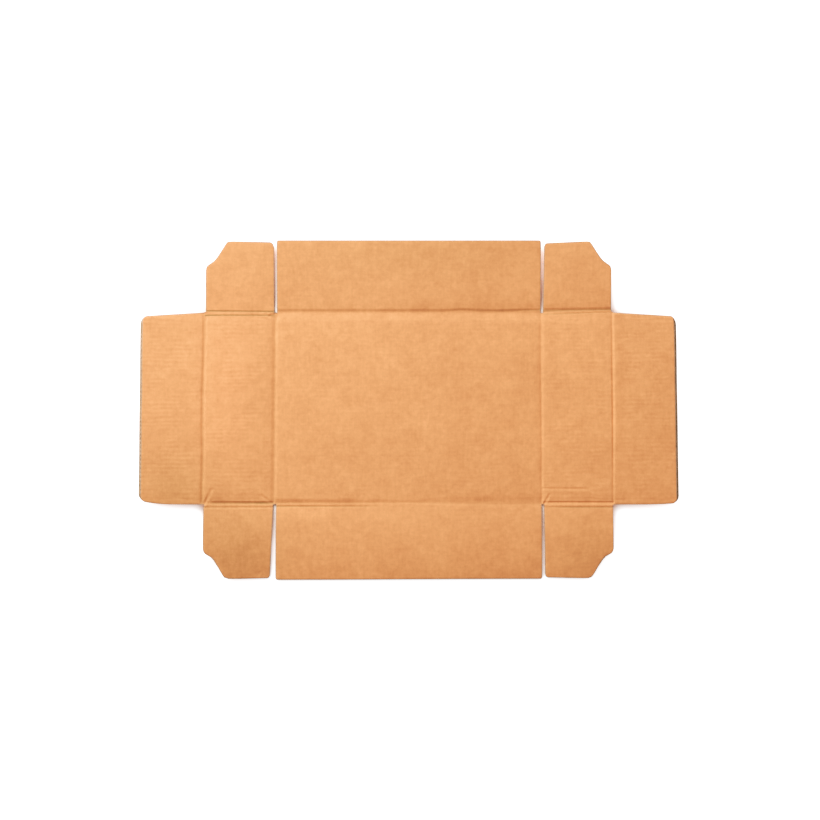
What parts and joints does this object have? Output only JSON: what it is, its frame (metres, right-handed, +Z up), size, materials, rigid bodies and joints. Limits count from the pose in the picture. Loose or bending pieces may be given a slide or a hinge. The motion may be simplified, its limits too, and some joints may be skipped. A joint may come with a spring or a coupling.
{
  "type": "flattened cardboard box",
  "caption": "Die-cut tray blank of single-wall corrugated board, lying open with side walls, end walls, tuck flaps and notched corner flaps.",
  "frame": {"origin": "under the middle of the sheet's outline, on the underside of the base", "axes": "+X along the flutes and the sheet's longer side, +Y towards the back wall, +Z up out of the inner face"},
  "size_m": [0.4298, 0.2724, 0.0105],
  "materials": {
    "corrugated_board": "matt brown kraft liner, uncoated"
  },
  "bodies": {
    "root": {"box_blank": "corrugated_board"}
  },
  "joints": []
}
